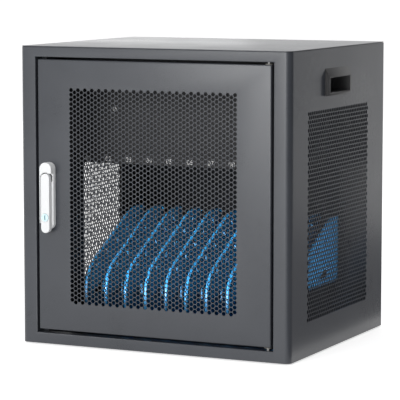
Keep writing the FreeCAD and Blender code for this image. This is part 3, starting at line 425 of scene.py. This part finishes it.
def door():
    made = bmesh.new()
    middle = (door_low.z + door_high.z) / 2.0
    half = DOOR_COLUMNS // 2
    first_row = (DOOR_ROWS - 1) / 2 + STAGGER / 2
    centres = []
    for column in range(-half, half + 1):
        lift = STAGGER if column % 2 else 0.0
        for row in range(DOOR_ROWS):
            centres.append((column * DOOR_COLUMN, middle + (row - first_row + lift) * DOOR_PITCH))
    rim = punched(made, centres, staggered_cell(DOOR_COLUMN, DOOR_PITCH), PUNCH)
    edge = DOOR_EDGE
    verts, outer = loop(made, rectangle(door_low.x + edge, door_high.x - edge, door_low.z + edge,
                                        door_high.z - edge))
    fill(made, rim + outer)
    chain = verts
    for turned, reached in arc(DOOR_EDGE_STEPS):
        grown = [made.verts.new((v.co.x + math.copysign(edge * reached, v.co.x),
                                 v.co.y + math.copysign(edge * reached, v.co.y - middle), -edge * turned))
                 for v in verts]
        band(made, chain, grown)
        chain = grown
    last = [made.verts.new((v.co.x, v.co.y, -DOOR_DEPTH)) for v in chain]
    band(made, chain, last)
    for vert in made.verts:
        u, v, out = vert.co
        vert.co = (u, FRONT - out, v)
    bmesh.ops.recalc_face_normals(made, faces=made.faces)
    if sum(face.normal.y * face.calc_area() for face in made.faces) > 0.0:
        bmesh.ops.reverse_faces(made, faces=made.faces)
    built = piece("door_skin", made, case_paint, "door", ["door_panel"])
    solid_sheet(built, SHEET)


# Front frame: stiles, rails, rounded upright corners and the return round the door

RETURN_BEND = 0.0012
RETURN_BEND_STEPS = 4
CORNER_STEPS = 14


def front_frame():
    made = bmesh.new()
    open_side = SIDE - STILE
    open_low = BOTTOM + RAIL
    open_high = CEILING + SHEET - RAIL
    bend = RETURN_BEND
    flat = SIDE - CORNER
    outer = [made.verts.new((x, FRONT, z)) for x, z in rectangle(-flat, flat, BOTTOM, CEILING)]
    inner = [made.verts.new((x, FRONT, z)) for x, z in
             rectangle(-open_side - bend, open_side + bend, open_low - bend, open_high + bend)]
    band(made, outer, inner)
    middle = (open_low + open_high) / 2.0
    chain = inner
    for turned, reached in arc(RETURN_BEND_STEPS):
        grown = [made.verts.new((v.co.x - math.copysign(bend * reached, v.co.x), FRONT + bend * turned,
                                 v.co.z - math.copysign(bend * reached, v.co.z - middle))) for v in inner]
        band(made, chain, grown)
        chain = grown
    deep = [made.verts.new((v.co.x, FRONT + RETURN, v.co.z)) for v in chain]
    band(made, chain, deep)
    left_edge = [deep[3], deep[0]]
    tip = [made.verts.new((v.co.x + LIP, v.co.y, v.co.z)) for v in left_edge]
    strip(made, left_edge, tip)
    for sign, (low, high) in ((-1, (outer[0], outer[3])), (1, (outer[1], outer[2]))):
        chain = [low, high]
        for turned, reached in arc(CORNER_STEPS):
            x = sign * (flat + CORNER * reached)
            y = FRONT + CORNER * turned
            grown = [made.verts.new((x, y, v.co.z)) for v in chain]
            strip(made, chain, grown)
            chain = grown
        end = [made.verts.new((sign * SIDE, CORNER_END, v.co.z)) for v in chain]
        strip(made, chain, end)
    bmesh.ops.recalc_face_normals(made, faces=made.faces)
    face = min(made.faces, key=lambda one: one.calc_center_median().y)
    if face.normal.y > 0.0:
        bmesh.ops.reverse_faces(made, faces=made.faces)
    built = piece("front_frame_skin", made, case_paint, "cabinet", ["front_frame"])
    solid_sheet(built, SHEET)


# Sides: punched sheets with the cut-out for the carry handle

SIDE_ROW = 0.0052
SIDE_PITCH = 0.006
SIDE_ROWS = 51
LEFT_SPOTS = 37
RIGHT_SPOTS = 34
FIELD_MIDDLE = FRONT + 0.158
FIELD_LEVEL = BOTTOM + 0.1765

GRIP_MIDDLE = FRONT + 0.150
GRIP_LENGTH = 0.078
GRIP_LOW = BOTTOM + 0.3255
GRIP_HIGH = GRIP_LOW + 0.035
GRIP_CHEEK = 0.006
GRIP_SILL = 0.004
GRIP_HOOD = 0.012
GRIP_PROUD = 0.005
GRIP_DEPTH = 0.020
GRIP_WALL = 0.002


def side(name, node, sign, spots):
    """Punched side; spots counts the holes in a row, from the same front end on both sides."""
    made = bmesh.new()
    centres = []
    for row in range(SIDE_ROWS):
        lift = STAGGER / 2 if row % 2 else -STAGGER / 2
        level = FIELD_LEVEL + (row - SIDE_ROWS // 2) * SIDE_ROW
        for spot in range(spots):
            centres.append((FIELD_MIDDLE + (spot - (RIGHT_SPOTS - 1) / 2 + lift) * SIDE_PITCH, level))
    cell = quarter_turn(staggered_cell(SIDE_ROW, SIDE_PITCH))
    rim = punched(made, centres, cell, quarter_turn(PUNCH))
    reach = GRIP_LENGTH / 2 - GRIP_CHEEK + GRIP_WALL
    cut_low = GRIP_LOW + GRIP_SILL - GRIP_WALL
    cut_high = GRIP_HIGH - GRIP_HOOD + GRIP_WALL
    cut_out = loop(made, rectangle(GRIP_MIDDLE - reach, GRIP_MIDDLE + reach, cut_low, cut_high))[1]
    outer = loop(made, rectangle(CORNER_END, REAR, BOTTOM, CEILING))[1]
    fill(made, rim + cut_out + outer)
    for vert in made.verts:
        vert.co = (sign * SIDE, vert.co.x, vert.co.y)
    for face in made.faces:
        face.normal_update()
        if face.normal.x * sign < 0.0:
            face.normal_flip()
    built = piece(name, made, case_paint, "cabinet", [node])
    solid_sheet(built, SHEET)


# Top: flat sheet with rounded front corners and a softened edge

TOP_SEAM = 0.0003
TOP_EDGE = 0.0005
TOP_REAR_RADIUS = 0.001
TOP_STEPS = 12


def top():
    made = bmesh.new()
    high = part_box("top_panel")[1]
    corners = [(-SIDE, FRONT, CORNER), (SIDE, FRONT, CORNER), (SIDE, high.y, TOP_REAR_RADIUS),
               (-SIDE, high.y, TOP_REAR_RADIUS)]
    plate(made, rounded(corners, TOP_STEPS), [], CEILING + TOP_SEAM, high.z, TOP_EDGE,
          lambda u, v, height: (u, v, height))
    piece("top_skin", close(made), case_paint, "cabinet", ["top_panel"])


# Carry handles: hooded bezel round a sunk tub

GRIP_DRAFT = 0.0006
GRIP_BROW = 0.0012
GRIP_BEVEL = 0.0005
GRIP_BEVEL_STEPS = 3
GRIP_FLAT_ANGLE = 0.1


def carry_handle(name, node, sign):
    """Rings from the panel out to the face and back into the tub; edges that turn get a small bevel."""
    made = bmesh.new()
    near = GRIP_MIDDLE - GRIP_LENGTH / 2
    far = GRIP_MIDDLE + GRIP_LENGTH / 2
    brow = GRIP_HIGH - GRIP_HOOD
    sill = GRIP_LOW + GRIP_SILL

    def ring(out, inset, low, high):
        corners = rectangle(near + inset, far - inset, low, high)
        return [made.verts.new((sign * (SIDE + out), y, z)) for y, z in corners]

    wall = GRIP_CHEEK - GRIP_WALL
    foot = ring(0.0, 0.0, GRIP_LOW, GRIP_HIGH)
    face = ring(GRIP_PROUD, GRIP_DRAFT, GRIP_LOW + GRIP_DRAFT, brow + GRIP_BROW)
    mouth = ring(GRIP_PROUD, GRIP_CHEEK, sill, brow)
    tub = ring(GRIP_WALL - GRIP_DEPTH, GRIP_CHEEK + GRIP_DRAFT, sill + GRIP_DRAFT, brow)
    back = ring(-GRIP_DEPTH, wall, sill - GRIP_WALL, brow + GRIP_WALL)
    neck = ring(0.0, wall, sill - GRIP_WALL, brow + GRIP_WALL)
    for start, end in ((foot, face), (face, mouth), (mouth, tub), (back, neck), (neck, foot)):
        band(made, start, end)
    made.faces.new(tub)
    made.faces.new(back)
    close(made)
    shown = set(face + mouth)
    upright = [{start, end} for start, end in zip(foot + mouth, face + tub)]
    edges = [edge for edge in made.edges if set(edge.verts) <= shown or set(edge.verts) in upright]
    turning = [edge for edge in edges if edge.calc_face_angle(0.0) > GRIP_FLAT_ANGLE]
    bmesh.ops.bevel(made, geom=turning, offset=GRIP_BEVEL, segments=GRIP_BEVEL_STEPS, profile=0.5,
                    affect="EDGES")
    piece(name, close(made), black_plastic, "cabinet", [node])


# Dividers: swept-back plates with a rim, round holes along the slope and two triangular openings

NOSE = BOTTOM + 0.083
NOSE_RADIUS = 0.045
SLOPE = math.tan(math.radians(28.4))
KNEE_RADIUS = 0.080
HEEL_RADIUS = 0.006
BLADE_EDGE = 0.0011
BLADE_STEPS = 14
BLADE_SMOOTH = 40.0
EYE_COUNT = 5
EYE_RADIUS = 0.004
EYE_STEPS = 20
FIRST_EYE = Vector((FRONT + 0.129, BOTTOM + 0.0888))
NEXT_EYE = Vector((0.028, 0.013))
WEB_CORNERS = ((FRONT + 0.112, BOTTOM + 0.048), (FRONT + 0.190, BOTTOM + 0.077))
WEB_LENGTH = 0.034
WEB_RADIUS = 0.0015
WEB_STEPS = 4
BEAD_HALF = 0.0024
BEAD_DEPTH = 0.0020
BEAD_STEPS = 16
BEAD_FOOT = BOTTOM + 0.030

blades = bpy.data.collections.new("blades")


def divider_outline(low, high):
    """Outline (y, z) between the corners of a divider's box."""
    knee = low.y + (high.z - NOSE) / SLOPE
    corners = [(low.y, low.z, 0.0), (high.y, low.z, 0.0), (high.y, high.z, HEEL_RADIUS),
               (knee, high.z, KNEE_RADIUS), (low.y, NOSE, NOSE_RADIUS)]
    return rounded(corners, BLADE_STEPS)


def bead(made, outline):
    """Rounded rim from the heel along the slope and the front edge, down to a foot above the rails."""
    path = [Vector(point) for point in shrunk(outline, BEAD_DEPTH)]
    upper = [index for index, point in enumerate(path) if point.y >= NOSE]
    heel = max(upper, key=lambda index: path[index].x)
    path = path[heel:]
    path.append(Vector((path[-1].x, BEAD_FOOT)))
    rings = []
    for index, here in enumerate(path):
        before = path[max(index - 1, 0)]
        after = path[min(index + 1, len(path) - 1)]
        along = (after - before).normalized()
        across = Vector((-along.y, along.x))
        ring = []
        for step in range(BEAD_STEPS):
            turn = 2.0 * math.pi * step / BEAD_STEPS
            spot = here + across * (BEAD_DEPTH * math.cos(turn))
            ring.append(made.verts.new((BEAD_HALF * math.sin(turn), spot.x, spot.y)))
        rings.append(ring)
    for first, second in zip(rings, rings[1:]):
        band(made, first, second)
    made.faces.new(rings[0])
    made.faces.new(rings[-1])


def dividers():
    """One mesh about the plane x = 0, copied to each divider's place."""
    low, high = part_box("divider_06")
    half = (high.x - low.x) / 2
    eyes = [FIRST_EYE + NEXT_EYE * step for step in range(EYE_COUNT)]
    holes = [circle(eye.x, eye.y, EYE_RADIUS, EYE_STEPS) for eye in eyes]
    for start, floor in WEB_CORNERS:
        end = start + WEB_LENGTH
        corners = [(start, floor), (end, floor), (end, floor + WEB_LENGTH * SLOPE)]
        holes.append(rounded([(*corner, WEB_RADIUS) for corner in corners], WEB_STEPS))
    made = bmesh.new()
    outline = divider_outline(low, high)
    plate(made, outline, holes, -half, half, BLADE_EDGE, lambda u, v, height: (height, u, v))
    bead(made, outline)
    close(made)
    for number in range(1, BAY_COUNT + 2):
        node = "divider_%02d" % number
        left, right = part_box(node)
        copy = made.copy()
        bmesh.ops.translate(copy, verts=copy.verts, vec=((left.x + right.x) / 2.0, 0.0, 0.0))
        blade = piece("blade_%02d" % number, copy, divider_blue, "cabinet", [node],
                      BLADE_SMOOTH)
        blades.objects.link(blade)
    made.free()


# Swing handle: housing with a crown round the lever's heel, lever with a seat for the lock, and pin

housing_low, housing_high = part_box("handle_housing")
lever_low, lever_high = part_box("lever")
lock_low, lock_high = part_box("lock_plug")
HANDLE_X = (housing_low.x + housing_high.x) / 2.0
PIVOT = lever_high.z - (lever_high.x - lever_low.x) / 2.0
HOUSING_HALF = 0.0086
HOUSING_FLAT = 0.0002
HOUSING_STEPS = 12
BASE = 0.006
BASE_EDGE = 0.0012
BASE_EDGE_STEPS = 5
WELL = 0.0077
WELL_FLOOR = 0.0015
WELL_STEPS = 40
CROWN = FRONT - housing_low.y
CROWN_EDGE = 0.0006
CROWN_EDGE_STEPS = 4
CUP = 0.0077
CUP_STEPS = 16
RIM_INSIDE = 0.0075
ARM_CLEARANCE = 0.00025
LEVER_HALF = 0.0062
LEVER_FLAT = 0.0001
LEVER_STEPS = 14
LEVER_BACK = FRONT - lever_high.y
LEVER_FACE = FRONT - lever_low.y
LEVER_CHAMFER = 0.0004
LEVER_EDGE = 0.0007
LEVER_EDGE_STEPS = 5
LEVER_SKIN = 0.0012
SLOT_HALF = 0.0028
SLOT_REACH = 0.005
SEAT_CLEARANCE = 0.0003
SEAT = (lock_high.x - lock_low.x) / 2.0 + SEAT_CLEARANCE
SEAT_LEVEL = (lock_low.z + lock_high.z) / 2.0 - PIVOT
PIN_SETBACK = 0.0002
PIN_EDGE = 0.0002
PIN_EDGE_STEPS = 2
PIN_STEPS = 20


def on_door(u, v, height):
    """Point on the door's face: across and up from the handle's pivot, and out."""
    return HANDLE_X + u, FRONT - height, PIVOT + v


def handle_housing():
    """Base with a well for the heel, and a crown down the left only, so that the lever can swing right."""
    made = bmesh.new()
    half = HOUSING_HALF
    low = housing_low.z - PIVOT
    high = housing_high.z - PIVOT
    bend = half - HOUSING_FLAT
    corners = [(-half, low, bend), (half, low, bend), (half, high, bend), (-half, high, bend)]
    foot, face = raised(made, rounded(corners, HOUSING_STEPS),
                        rounding(0.0, BASE, BASE_EDGE, BASE_EDGE_STEPS), on_door)
    well = circle(0.0, 0.0, WELL, WELL_STEPS)
    rim = placed(made, well, BASE, on_door)
    floor = placed(made, well, WELL_FLOOR, on_door)
    band(made, rim, floor)
    made.faces.new(floor)
    cap(made, face, rim)
    cap(made, foot)
    left = math.acos(-RIM_INSIDE / CUP)
    right = math.asin((LEVER_HALF + ARM_CLEARANCE) / CUP)
    turns = [left + (right - left) * step / CUP_STEPS for step in range(CUP_STEPS + 1)]
    arch = [(CUP * math.cos(turn), CUP * math.sin(turn)) for turn in turns]
    square_foot = [(-half, low, 0.0), (half, low, 0.0)]
    round_top = rounded(square_foot + corners[2:], HOUSING_STEPS)[len(square_foot):]
    foot_of_rim = low + bend
    crown = [(half, arch[-1][1])] + round_top + [(-half, foot_of_rim), (-RIM_INSIDE, foot_of_rim)] + arch
    foot, face = raised(made, crown, rounding(BASE, CROWN, CROWN_EDGE, CROWN_EDGE_STEPS), on_door)
    cap(made, face)
    cap(made, foot)
    piece("handle_housing_skin", close(made), handle_silver, "door", ["handle_housing"])


def lever():
    """Bar with round ends, a seat through it for the lock and a slot in its back for the tongue."""
    made = bmesh.new()
    half = LEVER_HALF
    low = lever_low.z - PIVOT
    bend = half - LEVER_FLAT
    corners = [(-half, low, bend), (half, low, bend), (half, half, bend), (-half, half, bend)]
    outline = rounded(corners, LEVER_STEPS)
    profile = rounding(LEVER_BACK + LEVER_CHAMFER, LEVER_FACE, LEVER_EDGE, LEVER_EDGE_STEPS)
    underside, face = raised(made, outline, [(LEVER_CHAMFER, LEVER_BACK)] + profile, on_door)
    seat = circle(0.0, SEAT_LEVEL, SEAT)
    slot = rectangle(-SLOT_HALF, SLOT_HALF, -SLOT_REACH, SLOT_REACH)
    seat_low = placed(made, seat, LEVER_BACK, on_door)
    seat_high = placed(made, seat, LEVER_FACE, on_door)
    slot_low = placed(made, slot, LEVER_BACK, on_door)
    slot_high = placed(made, slot, LEVER_FACE - LEVER_SKIN, on_door)
    band(made, seat_low, seat_high)
    band(made, slot_low, slot_high)
    made.faces.new(slot_high)
    cap(made, underside, seat_low, slot_low)
    cap(made, face, seat_high)
    piece("lever_skin", close(made), handle_silver, "handle_lever", ["lever"])


def lever_pin():
    made = bmesh.new()
    low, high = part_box("lever_pin")
    reach = LEVER_HALF - PIN_SETBACK
    radius = (high.z - low.z) / 2.0
    middle = (low + high) / 2.0
    plate(made, circle(0.0, 0.0, radius, PIN_STEPS), [], -reach, reach, PIN_EDGE,
          lambda u, v, height: (middle.x + height, middle.y + u, middle.z + v), PIN_EDGE_STEPS)
    piece("lever_pin_skin", close(made), bright_steel, "handle_lever", ["lever_pin"])


# Numbers on the strip; their thickness, weight and merging distance are in the font's own units

strip_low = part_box("shelf")[0]
NUMBER_HEIGHT = 0.0064
NUMBER_LEVEL = strip_low.z + 0.0058
NUMBER_FACE = strip_low.y - 0.00006
NUMBER_RELIEF = 0.002
FONT_THICKNESS = 0.02
FONT_WEIGHT = 0.006
FONT_MERGE = 0.0005
FONT_STEPS = 5


def number_mesh(text):
    """Closed mesh of a text, about the middle of its width."""
    curve = bpy.data.curves.new("number", "FONT")
    curve.body = text
    curve.align_x = "CENTER"
    curve.align_y = "CENTER"
    curve.extrude = FONT_THICKNESS
    curve.offset = FONT_WEIGHT
    curve.resolution_u = FONT_STEPS
    holder = bpy.data.objects.new("number", curve)
    scene.collection.objects.link(holder)
    graph = bpy.context.evaluated_depsgraph_get()
    mesh = bpy.data.meshes.new_from_object(holder.evaluated_get(graph))
    bpy.data.objects.remove(holder)
    made = bmesh.new()
    made.from_mesh(mesh)
    bpy.data.meshes.remove(mesh)
    bmesh.ops.remove_doubles(made, verts=made.verts, dist=FONT_MERGE)
    return made


def numbers():
    for bay in range(BAY_COUNT):
        text = "%02d" % (bay + 1)
        made = number_mesh(text)
        levels = [vert.co.y for vert in made.verts]
        scale = NUMBER_HEIGHT / (max(levels) - min(levels))
        middle = (max(levels) + min(levels)) / 2.0
        x = (bay - (BAY_COUNT - 1) / 2) * BAY
        for vert in made.verts:
            u, v, out = vert.co
            level = NUMBER_LEVEL + scale * (v - middle)
            vert.co = (x + scale * u, NUMBER_FACE - NUMBER_RELIEF * out, level)
        piece("number_" + text, close(made), number_white, "cabinet")


door()
front_frame()
side("left_side_skin", "left_side_panel", -1, LEFT_SPOTS)
side("right_side_skin", "right_side_panel", 1, RIGHT_SPOTS)
top()
carry_handle("carry_left_skin", "carry_handle_left", -1)
carry_handle("carry_right_skin", "carry_handle_right", 1)
dividers()
handle_housing()
lever()
lever_pin()
numbers()


# Stage, light and camera

FLOOR_REACH = 60.0
FLOOR_SHOWN = 0.6
WORLD_LIGHT = 0.40
WORLD_SHOWN = 1.0
WHITE = (1.0, 1.0, 1.0, 1.0)
CARD_HEIGHT = 1.6
CARD_LIFT = 0.002
CARD_GAP = 0.03
CARD_PAST = 0.05
CARD_BLUE = 1.05


def seen_directly(tree):
    """1 for camera, glossy and transmission rays, else 0."""
    path = tree.nodes.new("ShaderNodeLightPath")
    first = calculation(tree, "MAXIMUM")
    link(tree, path, "Is Camera Ray", first, 0)
    link(tree, path, "Is Glossy Ray", first, 1)
    second = calculation(tree, "MAXIMUM")
    link(tree, first, "Value", second, 0)
    link(tree, path, "Is Transmission Ray", second, 1)
    return second


def shown_strength(tree, lighting, shown):
    """Strength that differs between light cast and light seen."""
    level = tree.nodes.new("ShaderNodeMapRange")
    level.inputs["To Min"].default_value = lighting
    level.inputs["To Max"].default_value = shown
    link(tree, seen_directly(tree), "Value", level, "Value")
    return level


def stage_sheet(name, corners, finish):
    mesh = bpy.data.meshes.new(name)
    mesh.from_pydata(corners, [], [(0, 1, 2, 3)])
    mesh.materials.append(finish)
    made = bpy.data.objects.new(name, mesh)
    scene.collection.objects.link(made)
    return made


def white_floor():
    finish = surface("floor_white", (0.86, 0.86, 0.86), (0.88, 0.88, 0.88), 0.7, spread=0.02, strength=0.0)
    tree = finish.node_tree
    shader = tree.nodes["Principled BSDF"]
    shader.inputs["Emission Color"].default_value = WHITE
    link(tree, shown_strength(tree, 0.0, FLOOR_SHOWN), "Result", shader, "Emission Strength")
    corners = rectangle(-FLOOR_REACH, FLOOR_REACH, -FLOOR_REACH, FLOOR_REACH)
    stage_sheet("floor", [(x, y, 0.0) for x, y in corners], finish)


def studio():
    world = bpy.data.worlds.new("studio")
    scene.world = world
    world.use_nodes = True
    tree = world.node_tree
    background = tree.nodes["Background"]
    background.inputs["Color"].default_value = WHITE
    link(tree, shown_strength(tree, WORLD_LIGHT, WORLD_SHOWN), "Result", background, "Strength")


def card(name, corners, tone):
    """Card beside the cabinet that only reflections show."""
    finish = surface(name, (0.004, 0.004, 0.004), (0.006, 0.006, 0.006), 0.9)
    shader = finish.node_tree.nodes["Principled BSDF"]
    shader.inputs["Emission Color"].default_value = (tone, tone, tone * CARD_BLUE, 1.0)
    shader.inputs["Emission Strength"].default_value = 1.0
    made = stage_sheet(name, corners, finish)
    made.visible_camera = False
    made.visible_diffuse = False
    made.visible_transmission = False
    made.visible_shadow = False


def cards():
    """Dark wall and floor to the right of the camera, lighter ones farther round.

    The rounded corner and the right side show them."""
    beside = SIDE + CARD_GAP
    near = (1.0, -1.5)
    turn = (1.5, 0.3)
    far = (0.72, 1.15)
    foot = (beside, FRONT)
    heel = (beside, REAR + CARD_PAST)
    end = (beside, far[1])

    def wall(name, start, stop, tone):
        card(name, [(*start, 0.0), (*stop, 0.0), (*stop, CARD_HEIGHT), (*start, CARD_HEIGHT)], tone)

    def ground(name, corners, tone):
        card(name, [(*corner, CARD_LIFT) for corner in corners], tone)

    wall("dark_wall", near, turn, 0.02)
    wall("grey_wall", turn, far, 0.08)
    ground("dark_floor", [foot, near, turn, heel], 0.20)
    ground("grey_floor", [heel, turn, far, end], 0.22)


def softbox(name, place, target, width, height, power):
    lamp = bpy.data.lights.new(name, "AREA")
    lamp.shape = "RECTANGLE"
    lamp.size = width
    lamp.size_y = height
    lamp.energy = power
    holder = bpy.data.objects.new(name, lamp)
    scene.collection.objects.link(holder)
    holder.location = place
    direction = Vector(target) - Vector(place)
    holder.rotation_euler = direction.to_track_quat("-Z", "Y").to_euler()
    return holder


def blade_lamp(name, place, target, width, height, power):
    """Lamp inside the cabinet, unseen by the camera, that lights the dividers alone and with no bounce."""
    lamp = softbox(name, place, target, width, height, power)
    lamp.visible_camera = False
    lamp.light_linking.receiver_collection = blades
    lamp.data.cycles.max_bounces = 0
    return lamp


def lamps():
    softbox("front_softbox", place=(-0.40, -2.7, 0.75), target=(0.0, -0.15, 0.22), width=1.2, height=1.15,
            power=34.0)
    softbox("rear_softbox", place=(-2.2, 2.9, 0.7), target=(0.0, 0.0, 0.3), width=1.8, height=1.0,
            power=4.0)
    softbox("overhead", place=(0.0, 0.2, 2.6), target=(0.0, 0.0, 0.2), width=3.0, height=3.0, power=30.0)
    inner = blade_lamp("inner_softbox", place=(0.0, -0.120, 0.112), target=(0.0, 0.1, 0.125), width=0.29,
                       height=0.12, power=0.31)
    inner.data.spread = math.radians(40.0)
    depth = FRONT + 0.205
    level = 0.115
    beside = blade_lamp("beside_softbox", place=(0.160, depth, level), target=(0.0, depth, level),
                        width=0.11, height=0.09, power=0.06)
    beside.visible_glossy = False


def photo_camera():
    data = bpy.data.cameras.new("camera")
    data.sensor_width = 36.0
    data.lens = 198.3
    data.clip_start = 0.1
    data.clip_end = 200.0
    camera = bpy.data.objects.new("camera", data)
    scene.collection.objects.link(camera)
    camera.location = (1.2441, -2.6248, 0.5137)
    camera.rotation_euler = (math.radians(83.47), 0.0, math.radians(25.46))
    scene.camera = camera


white_floor()
studio()
cards()
lamps()
photo_camera()
scene.view_settings.view_transform = "Standard"
